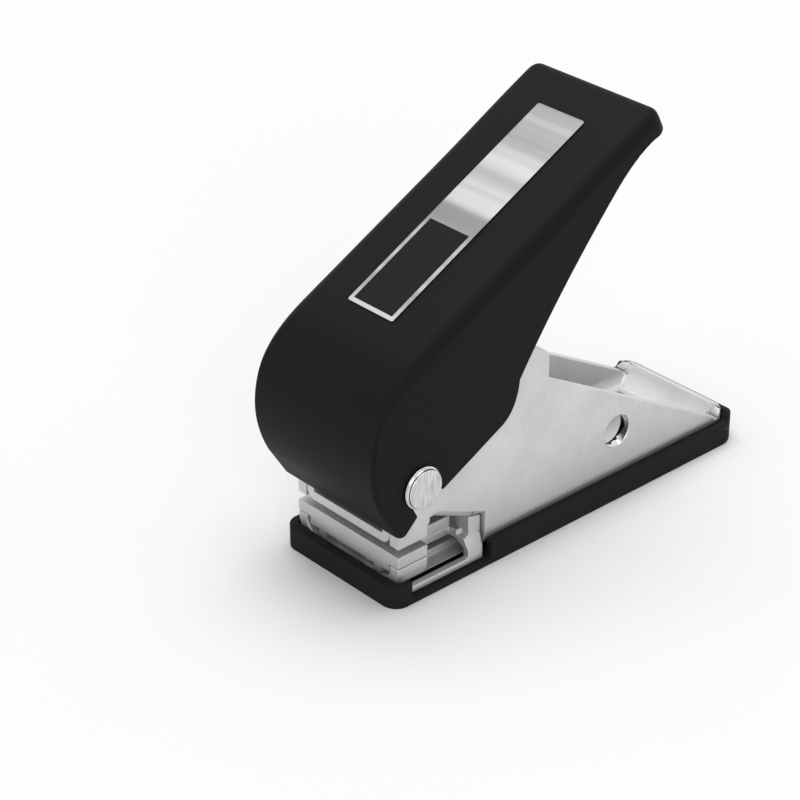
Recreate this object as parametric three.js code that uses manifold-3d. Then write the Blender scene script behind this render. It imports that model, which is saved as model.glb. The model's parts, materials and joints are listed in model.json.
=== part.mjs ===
// Hand punch for dart flights: a pressed-steel channel frame in a black rubber boot, and a
// plastic-covered steel lever that drives a spring-returned punch through the flight.
// Millimetres, +Z up. Every piece is drawn from one datum: Y = 0 at the front of the jaws,
// Z = 0 at the underside of the upper jaw, X = 0 in the middle. The handle's pieces are drawn
// from the pivot, with Y along the handle, and are then tilted to the handle's rest angle.
import * as THREE from 'three';
import { mergeVertices } from 'three/addons/utils/BufferGeometryUtils.js';
import Module from 'manifold-3d';

const wasm = await Module();
wasm.setup();

// Frame
const frameSheet = 1.5;
const frameLength = 55.1;
const floorDrop = 4.7;
const bendInside = 1.7;
const rearBendInside = 2.6;
const tailRamp = 4.2;
const tailRampHold = 2.0;
const tailRampOver = 0.1;
const tailRim = 0.3;
const rearWallRise = 2.0;
const cornerRun = 0.8;
const rearCornerOutside = 1.8;

// Cheeks of the frame, seen from the side
const cheekFrontHeight = 10.5;
const browDepth = 3.5;
const browHeight = 14.5;
const crestStart = 11.5;
const crestEnd = 19.2;
const crestHeight = 19.2;
const peakRear = 23.3;
const peakRearHeight = 17.0;
const peakRounding = 1.2;
const shoulderHeight = 13.3;
const tailInset = 2.0;
const tailDrop = 3.35;
const reliefGap = 0.45;
const reliefDrop = 3.8;

// Window and flight slot in each cheek
const throatDepth = 13.5;
const windowStart = 4.5;
const windowArch = 1.95;
const windowCorner = 0.7;
const windowKneeDrop = 0.45;
const windowRearDrop = 0.85;
const windowSill = 5.5;
const lipWidth = 0.8;
const lipDepth = 0.6;
const lipEndWidth = 0.4;
const slotHeight = 1.0;
const stampHoleShare = 0.396;
const stampHoleRise = 1.7;
const stampHoleWidth = 4.2;

// Pivot
const pivotAlong = 2.1;
const pivotRise = 8.3;
const pinWidth = 3.0;
const headWidth = 5.2;
const headThickness = 0.7;
const headCrown = 0.25;
const collarWidth = 3.8;
const sleeveWall = 1.1;

// Punch, its guide and its spring
const punchAlong = 8.6;
const punchWidth = 3.2;
const punchHeadWidth = 7.4;
const punchHeadRoom = 0.75;
const punchHeadThickness = 1.6;
const punchTipRise = 0.4;
const guideSheet = 1.2;
const guideLength = 16.5;
const guideArmRim = 1.0;
const guideBendOutside = 1.25;
const guideWaistInset = 1.5;
const bushWidth = 5.2;
const bushHeight = 5.0;
const bushSpigotWidth = 4.4;
const blockWall = 0.4;
const blockLength = 8.5;
const blockHeight = 5.4;
const springWire = 0.7;
const springOutside = 7.2;
const springCurls = 4;
const springHeight = 7.5;

// Die and the saddle that carries it
const dieThickness = 1.5;
const dieLength = 10.6;
const dieWaistInset = 2.9;
const dieBushWidth = 6.0;
const saddleSheet = 1.2;
const saddleLength = 16.9;
const saddleWaistInset = 1.3;
const stopStart = 11.4;
const stopRecess = 0.6;
const footStart = 10.6;
const footEnd = 12.9;
const footFlare = 0.9;
const footShoulderDrop = 3.3;
const footFlareDrop = 1.2;
const railHeight = 0.8;
const railWall = 1.0;
const railFront = 1.4;
const chipHoleWidth = 9.0;
const rivetWidth = 2.0;
const rivetHeadWidth = 3.2;
const rivetHeadThickness = 0.6;
const rivetSpacing = 4.8;
const rivetAlong = 2.4;

// Handle, from the pivot: Y along it, Z square to its flat top
const restAngle = THREE.MathUtils.degToRad(27.3);
const coverGap = 0.3;
const coverLength = 53.4;
const coverDepth = 17.5;
const skirtBelowPivot = 3.1;
const noseAheadOfPivot = 5.73;
const noseRadius = 13.3;
const coverSideWall = 1.2;
const coverTopWall = 1.6;
const coverEndWall = 1.3;
const coverTopRounding = 2.0;
const coverRearRounding = 1.4;
const coverNoseRounding = 0.8;
const notchWidth = 4.2;
const ribThickness = 1.0;
const ribSetback = 0.7;
const ribShares = [0.74, 0.86];
const undersideShares = [
  [0.338, 0],
  [0.385, 0],
  [0.426, 0.183],
  [0.594, 0.48],
  [0.828, 0.749],
  [0.903, 0.834],
  [1, 0.829],
];
const labelLength = 32.9;
const labelWidth = 7.4;
const labelShift = 0.25;
const labelThickness = 0.15;
const labelFromPivot = 9.5;
const labelRounding = 0.3;
const bossWidth = 5.0;
const bossHeight = 2.7;
const bossShares = [0.36, 0.58];
const screwWidth = 2.2;
const screwHeadWidth = 4.2;
const screwHeadThickness = 1.1;
const screwReach = 3.2;

// Steel lever inside the handle
const leverSheet = 1.2;
const leverEndShare = 0.688;
const leverHeelLength = 6.5;
const leverFront = 2.9;
const leverBelowPivot = 2.5;
const leverLift = 1.0;
const leverBrowDrop = 3.4;
const pressPinWidth = 3.0;
const pressPinRise = 3.9;

// Boot
const bootWall = 0.9;
const bootEndWall = 1.3;
const bootRearWall = 1.35;
const bootFloor = 0.75;
const bootRim = 4.1;
const bootRearRim = 3.4;
const bootRearRimLength = 1.9;
const bootRearRimSlope = 0.4;
const bootRearRimRounding = 0.9;
const bootFrontRounding = 2.0;
const bootFrontRoundingInside = 0.5;
const bootRearRounding = 3.2;
const bootNotchFront = 1.2;

// Clearances
const seatGap = 0.1;
const slipGap = 0.15;
const runGap = 0.2;
const snugGap = 0.25;
const overrun = 1.0;

// Places worked out from the sizes above
const leverHalf = punchHeadWidth / 2 + punchHeadRoom + leverSheet;
const guideArmInner = leverHalf + snugGap;
const guideHalf = guideArmInner + guideSheet;
const saddleHalf = guideHalf - runGap;
const frameInnerHalf = guideHalf + seatGap;
const frameHalf = frameInnerHalf + frameSheet;
const bootHalf = frameHalf + runGap + bootWall;
const coverHalf = frameHalf + coverGap + coverSideWall;
const tailEnd = frameLength - tailInset;
const stampHoleAlong = peakRear + (tailEnd - peakRear) * stampHoleShare;
const floorTop = -floorDrop;
const floorUnderside = floorTop - frameSheet;
const bootFloorTop = floorUnderside - slipGap;
const bootUnderside = bootFloorTop - bootFloor;
const bootFront = -bootEndWall - seatGap - slipGap;
const bootRear = frameLength + seatGap + slipGap + bootRearWall;
const dieTop = -slotHeight;
const dieUnderside = dieTop - dieThickness;
const saddleTop = dieUnderside - seatGap;
const saddleUnderside = saddleTop - saddleSheet;
const stopTop = -windowKneeDrop - slipGap;
const guideArmHeight = pivotRise + pinWidth / 2 + runGap + guideArmRim;
const saddleLegSpan = rivetSpacing + rivetHeadWidth + (runGap + saddleSheet) * 2;
const springBottom = guideSheet + seatGap;
const punchHeadUnderside = springBottom + springHeight + seatGap;
const punchHeadTop = punchHeadUnderside + punchHeadThickness;
const coverTop = coverDepth - skirtBelowPivot;
const coverInnerTop = coverTop - coverTopWall;
const noseCentreAlong = noseRadius - noseAheadOfPivot;
const noseCentreRise = coverTop - noseRadius;
const coverRear = coverLength - noseAheadOfPivot;
const leverEnd = leverEndShare * coverLength - noseAheadOfPivot;
const leverTop = coverInnerTop - bossHeight - seatGap;
const leverWebUnderside = leverTop - leverSheet;
const pressPinAlong = punchAlong - pivotAlong;

const roundSteps = 32;
const smallRoundSteps = 20;
const curveSteps = 10;

const steel = (color, roughness) =>
  new THREE.MeshStandardMaterial({ color, roughness, metalness: 1 });
const plastic = (color, roughness) =>
  new THREE.MeshStandardMaterial({ color, roughness, metalness: 0 });
const nickelPlate = steel(0xc6c6c6, 0.3);
const brushedSteel = steel(0xd0d0cf, 0.35);
const toolSteel = steel(0x2c2d2f, 0.4);
const springSteel = steel(0xa7a9ab, 0.3);
const silverFoil = steel(0xcdcdcd, 0.25);
const handlePlastic = plastic(0x2a2a2a, 0.5);
const blackNylon = plastic(0x1b1b1b, 0.6);
const bootRubber = plastic(0x21211f, 0.7);

// A closed geometry as a solid that can be joined and cut, and back again
function solidOf(geometry) {
  const bare = geometry.index ? geometry.toNonIndexed() : geometry.clone();
  bare.deleteAttribute('normal');
  bare.deleteAttribute('uv');
  const merged = mergeVertices(bare);
  const mesh = new wasm.Mesh({
    numProp: 3,
    vertProperties: new Float32Array(merged.attributes.position.array),
    triVerts: new Uint32Array(merged.index.array),
  });
  return new wasm.Manifold(mesh);
}

function geometryOf(solid) {
  const mesh = solid.getMesh();
  const geometry = new THREE.BufferGeometry();
  geometry.setAttribute('position', new THREE.BufferAttribute(mesh.vertProperties, mesh.numProp));
  geometry.setIndex(new THREE.BufferAttribute(mesh.triVerts, 1));
  return geometry;
}

// An outline pushed along one axis: side outlines are (Y, Z), cross outlines (X, Z), plans (X, Y)
const axisX = new THREE.Vector3(1, 0, 0);
const axisY = new THREE.Vector3(0, 1, 0);
const axisZ = new THREE.Vector3(0, 0, 1);

function pushed(shape, depth, basis, offset) {
  const geometry = new THREE.ExtrudeGeometry(shape, {
    depth,
    bevelEnabled: false,
    curveSegments: curveSteps,
  });
  geometry.applyMatrix4(basis);
  geometry.translate(offset.x, offset.y, offset.z);
  return solidOf(geometry);
}

function alongX(shape, from, to) {
  const basis = new THREE.Matrix4().makeBasis(axisY, axisZ, axisX);
  return pushed(shape, to - from, basis, new THREE.Vector3(from, 0, 0));
}

function alongY(shape, from, to) {
  const basis = new THREE.Matrix4().makeBasis(axisX, axisZ, axisY.clone().negate());
  return pushed(shape, to - from, basis, new THREE.Vector3(0, to, 0));
}

function alongZ(shape, from, to) {
  return pushed(shape, to - from, new THREE.Matrix4(), new THREE.Vector3(0, 0, from));
}

function block(x0, x1, y0, y1, z0, z1) {
  const geometry = new THREE.BoxGeometry(x1 - x0, y1 - y0, z1 - z0);
  geometry.translate((x0 + x1) / 2, (y0 + y1) / 2, (z0 + z1) / 2);
  return solidOf(geometry);
}

function rodX(width, from, to, y, z, steps = roundSteps) {
  const geometry = new THREE.CylinderGeometry(width / 2, width / 2, to - from, steps);
  geometry.rotateZ(Math.PI / 2);
  geometry.translate((from + to) / 2, y, z);
  return solidOf(geometry);
}

function rodZ(width, from, to, x, y, steps = roundSteps) {
  const geometry = new THREE.CylinderGeometry(width / 2, width / 2, to - from, steps);
  geometry.rotateX(Math.PI / 2);
  geometry.translate(x, y, (from + to) / 2);
  return solidOf(geometry);
}

function polygon(points) {
  return new THREE.Shape(points.map(([a, b]) => new THREE.Vector2(a, b)));
}

function roundedRectangle(x0, x1, y0, y1, frontRadius, rearRadius = frontRadius) {
  const shape = new THREE.Shape();
  shape.moveTo(x0 + frontRadius, y0);
  shape.lineTo(x1 - frontRadius, y0);
  shape.absarc(x1 - frontRadius, y0 + frontRadius, frontRadius, -Math.PI / 2, 0);
  shape.lineTo(x1, y1 - rearRadius);
  shape.absarc(x1 - rearRadius, y1 - rearRadius, rearRadius, 0, Math.PI / 2);
  shape.lineTo(x0 + rearRadius, y1);
  shape.absarc(x0 + rearRadius, y1 - rearRadius, rearRadius, Math.PI / 2, Math.PI);
  shape.lineTo(x0, y0 + frontRadius);
  shape.absarc(x0 + frontRadius, y0 + frontRadius, frontRadius, Math.PI, Math.PI * 3 / 2);
  return shape;
}

// A channel section, open at the top, with rounded bends at the bottom
function channelSection(half, wall, bottom, top, outsideRadius) {
  const insideRadius = outsideRadius - wall;
  const inner = half - wall;
  const shape = new THREE.Shape();
  shape.moveTo(-half, top);
  shape.lineTo(-half, bottom + outsideRadius);
  shape.absarc(outsideRadius - half, bottom + outsideRadius, outsideRadius, Math.PI, Math.PI * 3 / 2);
  shape.lineTo(half - outsideRadius, bottom);
  shape.absarc(half - outsideRadius, bottom + outsideRadius, outsideRadius, -Math.PI / 2, 0);
  shape.lineTo(half, top);
  shape.lineTo(inner, top);
  shape.lineTo(inner, bottom + outsideRadius);
  shape.absarc(half - outsideRadius, bottom + outsideRadius, insideRadius, 0, -Math.PI / 2, true);
  shape.lineTo(outsideRadius - half, bottom + wall);
  shape.absarc(outsideRadius - half, bottom + outsideRadius, insideRadius, Math.PI * 3 / 2, Math.PI, true);
  shape.lineTo(-inner, top);
  return shape;
}

// The coined lip over a window: the opening's outline flares outwards through part of the sheet
function archLip(opening, side) {
  const flare = new THREE.ExtrudeGeometry(opening, {
    depth: overrun,
    bevelThickness: lipDepth,
    bevelSize: lipWidth,
    bevelSegments: 1,
    curveSegments: curveSteps,
  });
  flare.applyMatrix4(new THREE.Matrix4().makeBasis(axisY, axisZ, axisX));
  flare.translate(side > 0 ? frameHalf : -frameHalf - overrun, 0, 0);
  const keep = polygon([
    [windowStart + windowCorner / 2, 0],
    [throatDepth, -windowRearDrop],
    [throatDepth, lipEndWidth - windowRearDrop],
    [stopStart, lipWidth - windowKneeDrop],
    [stopStart - windowCorner, windowArch + lipWidth * 2],
    [windowStart + windowCorner / 2, windowArch + lipWidth * 2],
  ]);
  const reach = frameHalf + overrun;
  return solidOf(flare).intersect(alongX(keep, -reach, reach));
}

// A tray's outer or inner body: rounded along the floor's long edges and rear edge, and round
// its rear corners as seen from above
function trayBody(half, bottom, front, rear, top, sideRadius, rearRadius, cornerRadius) {
  const section = new THREE.Shape();
  section.moveTo(-half, top);
  section.lineTo(-half, bottom + sideRadius);
  section.absarc(sideRadius - half, bottom + sideRadius, sideRadius, Math.PI, Math.PI * 3 / 2);
  section.lineTo(half - sideRadius, bottom);
  section.absarc(half - sideRadius, bottom + sideRadius, sideRadius, -Math.PI / 2, 0);
  section.lineTo(half, top);
  const profile = new THREE.Shape();
  profile.moveTo(front, bottom);
  profile.lineTo(rear - rearRadius, bottom);
  profile.absarc(rear - rearRadius, bottom + rearRadius, rearRadius, -Math.PI / 2, 0);
  profile.lineTo(rear, top);
  profile.lineTo(front, top);
  const plan = new THREE.Shape();
  plan.moveTo(-half, front);
  plan.lineTo(half, front);
  plan.lineTo(half, rear - cornerRadius);
  plan.absarc(half - cornerRadius, rear - cornerRadius, cornerRadius, 0, Math.PI / 2);
  plan.lineTo(cornerRadius - half, rear);
  plan.absarc(cornerRadius - half, rear - cornerRadius, cornerRadius, Math.PI / 2, Math.PI);
  return alongY(section, front, rear)
    .intersect(alongX(profile, -half, half))
    .intersect(alongZ(plan, bottom, top));
}

// Frame: a tray of sheet steel with tall cheeks, cut to the cheeks' outline; between the cheeks
// the floor's tail rises as a ramp, coined thin at its upper edge
function makeFrame() {
  const wallTop = floorTop + rearWallRise;
  const cheek = new THREE.Shape();
  cheek.moveTo(0, floorUnderside);
  cheek.lineTo(0, cheekFrontHeight);
  cheek.lineTo(browDepth, browHeight);
  cheek.quadraticCurveTo((browDepth + crestStart) / 2, crestHeight, crestStart, crestHeight);
  cheek.lineTo(crestEnd, crestHeight);
  const slope = new THREE.Vector2(peakRear - crestEnd, peakRearHeight - crestHeight).normalize();
  cheek.lineTo(peakRear - slope.x * peakRounding, peakRearHeight - slope.y * peakRounding);
  cheek.quadraticCurveTo(peakRear, peakRearHeight, peakRear, peakRearHeight - peakRounding);
  cheek.lineTo(peakRear, shoulderHeight);
  cheek.lineTo(tailEnd, -tailDrop);
  cheek.lineTo(tailEnd, -reliefDrop);
  cheek.lineTo(tailEnd + reliefGap, -reliefDrop);
  cheek.lineTo(tailEnd + reliefGap, -tailDrop);
  cheek.lineTo(frameLength - cornerRun, wallTop);
  cheek.lineTo(frameLength + overrun, wallTop);
  cheek.lineTo(frameLength + overrun, floorUnderside);
  const top = crestHeight + overrun;
  const outside = trayBody(frameHalf, floorUnderside, 0, frameLength, top,
    bendInside + frameSheet, rearBendInside + frameSheet, rearCornerOutside);
  const rampEnd = frameLength - tailRim;
  const ramp = new THREE.Shape();
  ramp.moveTo(rampEnd - tailRamp, floorTop - overrun);
  ramp.lineTo(rampEnd - tailRamp, floorTop);
  ramp.quadraticCurveTo(rampEnd - tailRamp + tailRampHold, floorTop, rampEnd, wallTop + tailRampOver);
  ramp.lineTo(rampEnd + overrun, wallTop + tailRampOver);
  ramp.lineTo(rampEnd + overrun, floorTop - overrun);
  const inside = trayBody(frameInnerHalf, floorTop, -overrun, rampEnd, top + overrun,
    bendInside, tailRim, rearCornerOutside - frameSheet)
    .subtract(alongX(ramp, -frameHalf, frameHalf));
  const reliefReach = frameInnerHalf - reliefGap;
  const outline = alongX(cheek, -frameHalf - overrun, frameHalf + overrun)
    .add(block(-reliefReach, reliefReach, 0, frameLength + overrun, floorUnderside, wallTop));
  let frame = outside.subtract(inside).intersect(outline);

  const opening = new THREE.Shape();
  opening.moveTo(-overrun, 0);
  opening.lineTo(windowStart, 0);
  opening.lineTo(windowStart, windowArch - windowCorner);
  opening.quadraticCurveTo(windowStart, windowArch, windowStart + windowCorner * 2, windowArch);
  opening.lineTo(stopStart, -windowKneeDrop);
  opening.lineTo(throatDepth, -windowRearDrop);
  opening.lineTo(throatDepth, -windowSill);
  opening.lineTo(windowStart, -windowSill);
  opening.lineTo(windowStart, saddleTop);
  opening.lineTo(-overrun, saddleTop);
  for (const side of [-1, 1]) {
    const a = side * (frameInnerHalf - bendInside);
    const b = side * (frameHalf + overrun);
    frame = frame.subtract(alongX(opening, Math.min(a, b), Math.max(a, b)));
    frame = frame.subtract(archLip(opening, side));
  }
  const through = [-frameHalf - overrun, frameHalf + overrun];
  frame = frame.subtract(rodX(pinWidth + runGap * 2, ...through, pivotAlong, pivotRise));
  frame = frame.subtract(rodX(stampHoleWidth, ...through, stampHoleAlong, stampHoleRise));
  return frame.subtract(rodZ(chipHoleWidth, floorUnderside - overrun, floorTop + overrun, 0, punchAlong));
}

// Boot: a tray moulded to the frame's floor, cut down beside the windows and raised at the rear
function makeBoot() {
  const half = bootHalf;
  const rimTop = -bootRim;
  const plan = roundedRectangle(-half, half, bootFront, bootRear, bootFrontRounding,
    bootRearRounding);
  const rearTop = -bootRearRim;
  const riseEnd = bootRear - bootRearRimLength;
  const tray = new THREE.Shape();
  tray.moveTo(bootFront, bootUnderside);
  tray.lineTo(bootRear, bootUnderside);
  tray.lineTo(bootRear, rearTop - bootRearRimRounding);
  tray.absarc(bootRear - bootRearRimRounding, rearTop - bootRearRimRounding, bootRearRimRounding,
    0, Math.PI / 2);
  tray.lineTo(riseEnd, rearTop);
  tray.lineTo(riseEnd - bootRearRimSlope, rimTop);
  tray.lineTo(bootFront, rimTop);
  let boot = alongZ(plan, bootUnderside, 0).intersect(alongX(tray, -half, half));
  const innerHalf = half - bootWall;
  const innerFront = bootFront + bootEndWall;
  const innerRear = bootRear - bootRearWall;
  const hollow = roundedRectangle(-innerHalf, innerHalf, innerFront, innerRear,
    bootFrontRoundingInside, bootRearRounding - bootWall);
  boot = boot.subtract(alongZ(hollow, bootFloorTop, overrun));
  for (const side of [-1, 1]) {
    const a = side * (innerHalf - overrun);
    const b = side * (half + overrun);
    boot = boot.subtract(block(Math.min(a, b), Math.max(a, b), bootNotchFront, throatDepth,
      bootFloorTop, overrun));
  }
  return boot;
}

// Guide bracket: the upper jaw's plate, with two arms that hang on the pivot pin
function makeGuideBracket() {
  const section = channelSection(guideHalf, guideSheet, 0, guideArmHeight, guideBendOutside);
  const side = new THREE.Shape();
  side.moveTo(0, 0);
  side.lineTo(guideLength, 0);
  side.lineTo(guideLength, guideSheet);
  side.lineTo(windowStart - seatGap, guideSheet);
  side.lineTo(windowStart - seatGap, guideArmHeight - pivotAlong);
  side.quadraticCurveTo(windowStart - seatGap, guideArmHeight, pivotAlong, guideArmHeight);
  side.quadraticCurveTo(0, guideArmHeight, 0, guideArmHeight - pivotAlong);
  const reach = frameHalf;
  let bracket = alongY(section, 0, guideLength).intersect(alongX(side, -reach, reach));
  for (const hand of [-1, 1]) {
    const a = hand * (guideHalf - guideWaistInset);
    const b = hand * reach;
    bracket = bracket.subtract(block(Math.min(a, b), Math.max(a, b), windowStart - seatGap,
      throatDepth + seatGap, -overrun, guideSheet + overrun));
  }
  bracket = bracket.subtract(rodX(pinWidth + runGap * 2, -reach, reach, pivotAlong, pivotRise));
  return bracket.subtract(rodZ(bushSpigotWidth + slipGap * 2, -overrun, guideSheet + overrun,
    0, punchAlong));
}

// Guide block: a black moulding clipped over the bracket's plate, round the spring
function makeGuideBlock() {
  const half = guideHalf - runGap;
  const front = windowStart + runGap;
  const rear = front + blockLength;
  const plateHalf = guideHalf - guideWaistInset + seatGap;
  const ring = rodZ(springOutside + (snugGap + blockWall) * 2, springBottom, blockHeight, 0, punchAlong);
  return block(-half, half, front, rear, seatGap, blockHeight)
    .add(ring)
    .subtract(block(-plateHalf, plateHalf, front - overrun, rear + overrun, -overrun, springBottom))
    .subtract(rodZ(springOutside + snugGap * 2, -overrun, blockHeight + overrun, 0, punchAlong));
}

// Guide bush: staked into the bracket, it keeps the punch upright
function makeGuideBush() {
  const body = rodZ(bushWidth, guideSheet + seatGap, bushHeight, 0, punchAlong);
  const spigot = rodZ(bushSpigotWidth, seatGap, guideSheet + overrun, 0, punchAlong);
  const bore = rodZ(punchWidth + runGap * 2, -overrun, bushHeight + overrun, 0, punchAlong);
  return body.add(spigot).subtract(bore);
}

// Saddle: carries the die on short legs, stops the flight with its two tabs, and ends in feet
// that come out through the windows and lie in the boot's cut-outs
function makeSaddle() {
  const half = saddleHalf;
  let saddle = block(-half, half, runGap, saddleLength, saddleUnderside, saddleTop);
  const legFoot = floorTop + seatGap;
  for (const side of [-1, 1]) {
    const span = (a, b) => [Math.min(side * a, side * b), Math.max(side * a, side * b)];
    saddle = saddle.subtract(block(...span(half - saddleWaistInset, half + overrun),
      windowStart + seatGap, footStart, saddleUnderside - overrun, saddleTop + overrun));
    const leg = span(saddleLegSpan / 2 - saddleSheet, saddleLegSpan / 2);
    saddle = saddle.add(block(...leg, runGap, windowStart, legFoot, saddleTop));
    saddle = saddle.add(block(...leg, stopStart, saddleLength, legFoot, saddleTop));
    const tab = span(half - saddleSheet, half);
    saddle = saddle.add(block(...tab, stopStart, saddleLength, saddleUnderside, stopTop));
    const tabOuter = frameHalf - stopRecess;
    const footOuter = tabOuter + footFlare;
    const footInner = footOuter - railWall;
    const footBottom = bootFloorTop + seatGap / 2;
    const flareTop = -footShoulderDrop;
    const flareBottom = flareTop - footFlareDrop;
    const postRear = throatDepth - runGap;
    const post = polygon([
      [stopStart, flareTop],
      [postRear, flareTop],
      [postRear, -windowRearDrop - slipGap],
      [stopStart, stopTop],
    ]);
    saddle = saddle.add(alongX(post, ...span(half - seatGap, tabOuter)));
    const footOutline = [
      [half - seatGap, flareTop + seatGap],
      [tabOuter, flareTop + seatGap],
      [footOuter, flareBottom],
      [footOuter, footBottom],
      [footInner, footBottom],
      [footInner, flareBottom],
      [half - seatGap, saddleUnderside],
    ].map(([x, z]) => [side * x, z]);
    const foot = polygon(side > 0 ? footOutline : footOutline.reverse());
    saddle = saddle.add(alongY(foot, footStart, footEnd));
    saddle = saddle.add(block(...span(footInner, footOuter), railFront,
      footEnd, footBottom, footBottom + railHeight));
    saddle = saddle.subtract(rodZ(rivetWidth + slipGap * 2, saddleUnderside - overrun,
      saddleTop + overrun, side * rivetSpacing / 2, rivetAlong, smallRoundSteps));
  }
  return saddle.subtract(rodZ(dieBushWidth, saddleUnderside - overrun, saddleTop + overrun,
    0, punchAlong));
}

// Die plate: the lower jaw's hardened top, with a bored bush under the punch
function makeDiePlate() {
  const half = frameHalf;
  const waist = half - dieWaistInset;
  const plan = polygon([
    [-half, 0],
    [half, 0],
    [half, windowStart],
    [waist, windowStart],
    [waist, dieLength],
    [-waist, dieLength],
    [-waist, windowStart],
    [-half, windowStart],
  ]);
  let plate = alongZ(plan, dieUnderside, dieTop);
  for (const side of [-1, 1]) {
    plate = plate.subtract(rodZ(rivetWidth + slipGap * 2, dieUnderside - overrun, dieTop + overrun,
      side * rivetSpacing / 2, rivetAlong, smallRoundSteps));
  }
  return plate.subtract(rodZ(dieBushWidth + slipGap * 2, dieUnderside - overrun, dieTop + overrun,
    0, punchAlong));
}

function makeDieBush() {
  const body = rodZ(dieBushWidth, dieUnderside, dieTop, 0, punchAlong);
  return body.subtract(rodZ(punchWidth + runGap * 2, dieUnderside - overrun, dieTop + overrun,
    0, punchAlong));
}

function makeDieRivet(side) {
  const x = side * rivetSpacing / 2;
  const shank = rodZ(rivetWidth, saddleUnderside - seatGap, dieTop, x, rivetAlong, smallRoundSteps);
  const headTop = saddleUnderside - seatGap;
  return shank.add(rodZ(rivetHeadWidth, headTop - rivetHeadThickness, headTop + seatGap / 2,
    x, rivetAlong, smallRoundSteps));
}

// Punch: a headed pin with a square-cut end
function makePunch() {
  const shank = rodZ(punchWidth, punchTipRise, punchHeadTop, 0, punchAlong);
  return shank.add(rodZ(punchHeadWidth, punchHeadUnderside, punchHeadTop, 0, punchAlong));
}

// Return spring: one unbroken wire wound round the guide bush, under the punch's head
const curlSteps = 8;
const wireSides = 5;
const springRadius = (springOutside - springWire) / 2;
const springClimb = springHeight - springWire;

function springPoint(turn) {
  const angle = turn * Math.PI * 2;
  return new THREE.Vector3(
    springRadius * Math.cos(angle),
    punchAlong + springRadius * Math.sin(angle),
    springBottom + springWire / 2 + springClimb * turn / springCurls,
  );
}

function makeSpring() {
  const rings = springCurls * curlSteps;
  const positions = [];
  const rise = springClimb / (springCurls * Math.PI * 2);
  for (let i = 0; i <= rings; i += 1) {
    const turn = i / curlSteps;
    const angle = turn * Math.PI * 2;
    const centre = springPoint(turn);
    const outward = new THREE.Vector3(Math.cos(angle), Math.sin(angle), 0);
    const ahead = new THREE.Vector3(-Math.sin(angle), Math.cos(angle), rise / springRadius).normalize();
    const across = new THREE.Vector3().crossVectors(ahead, outward);
    for (let j = 0; j < wireSides; j += 1) {
      const around = j / wireSides * Math.PI * 2;
      const point = centre.clone()
        .addScaledVector(outward, springWire / 2 * Math.cos(around))
        .addScaledVector(across, springWire / 2 * Math.sin(around));
      positions.push(point.x, point.y, point.z);
    }
  }
  const faces = [];
  for (let i = 0; i < rings; i += 1) {
    for (let j = 0; j < wireSides; j += 1) {
      const a = i * wireSides + j;
      const b = i * wireSides + (j + 1) % wireSides;
      faces.push(a, b, a + wireSides, b, b + wireSides, a + wireSides);
    }
  }
  const last = rings * wireSides;
  for (let j = 1; j < wireSides - 1; j += 1) {
    faces.push(0, j + 1, j);
    faces.push(last, last + j, last + j + 1);
  }
  const geometry = new THREE.BufferGeometry();
  geometry.setAttribute('position', new THREE.Float32BufferAttribute(positions, 3));
  geometry.setIndex(faces);
  return geometry;
}

function springLeastGap() {
  const samples = 48;
  let least = Infinity;
  for (let i = 0; i < springCurls * samples; i += 1) {
    for (let j = i + samples / 2; j <= springCurls * samples; j += 1) {
      const apart = springPoint(i / samples).distanceTo(springPoint(j / samples));
      least = Math.min(least, apart - springWire);
    }
  }
  return least;
}
console.log('return spring: least gap between curls', springLeastGap().toFixed(2), 'mm');

// Pivot pin: a headed pin across both cheeks; a matching cap is riveted on its far end
const headSeat = coverHalf + snugGap / 2;

function domedHead(side) {
  const radius = headWidth / 2;
  const face = headThickness - headCrown;
  const profile = new THREE.Shape();
  profile.moveTo(0, 0);
  profile.lineTo(radius, 0);
  profile.lineTo(radius, face);
  profile.quadraticCurveTo(radius, headThickness, radius - headCrown * 2, headThickness);
  profile.lineTo(0, headThickness);
  const geometry = new THREE.LatheGeometry(profile.getPoints(4), roundSteps);
  geometry.rotateZ(-Math.PI / 2);
  if (side < 0) geometry.rotateY(Math.PI);
  geometry.translate(side * headSeat, pivotAlong, pivotRise);
  return solidOf(geometry);
}

function makePivotPin() {
  const shank = rodX(pinWidth, -headSeat + runGap, headSeat + headThickness / 2, pivotAlong, pivotRise);
  return domedHead(1).add(shank);
}

function makePivotCap() {
  return domedHead(-1);
}

function makeCollar(side) {
  const from = frameHalf + seatGap;
  const to = headSeat - seatGap;
  const ends = side > 0 ? [from, to] : [-to, -from];
  const ring = rodX(collarWidth, ...ends, pivotAlong, pivotRise);
  return ring.subtract(rodX(pinWidth + slipGap, ends[0] - overrun, ends[1] + overrun,
    pivotAlong, pivotRise));
}

// Outline of the cover from the side, from the pivot
function coverPoint(share) {
  return [share[0] * coverLength - noseAheadOfPivot, share[1] * coverDepth - skirtBelowPivot];
}

function coverOutline() {
  const [flatEnd, bendControl, bendEnd, bellyControl, bellyEnd, tipControl, tip] =
    undersideShares.map(coverPoint);
  const shape = new THREE.Shape();
  shape.moveTo(-noseAheadOfPivot, -skirtBelowPivot);
  shape.lineTo(...flatEnd);
  shape.quadraticCurveTo(...bendControl, ...bendEnd);
  shape.quadraticCurveTo(...bellyControl, ...bellyEnd);
  shape.quadraticCurveTo(...tipControl, ...tip);
  shape.lineTo(coverRear, coverTop);
  shape.lineTo(noseCentreAlong, coverTop);
  shape.absarc(noseCentreAlong, noseCentreRise, noseRadius, Math.PI / 2, Math.PI);
  return shape;
}

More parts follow.
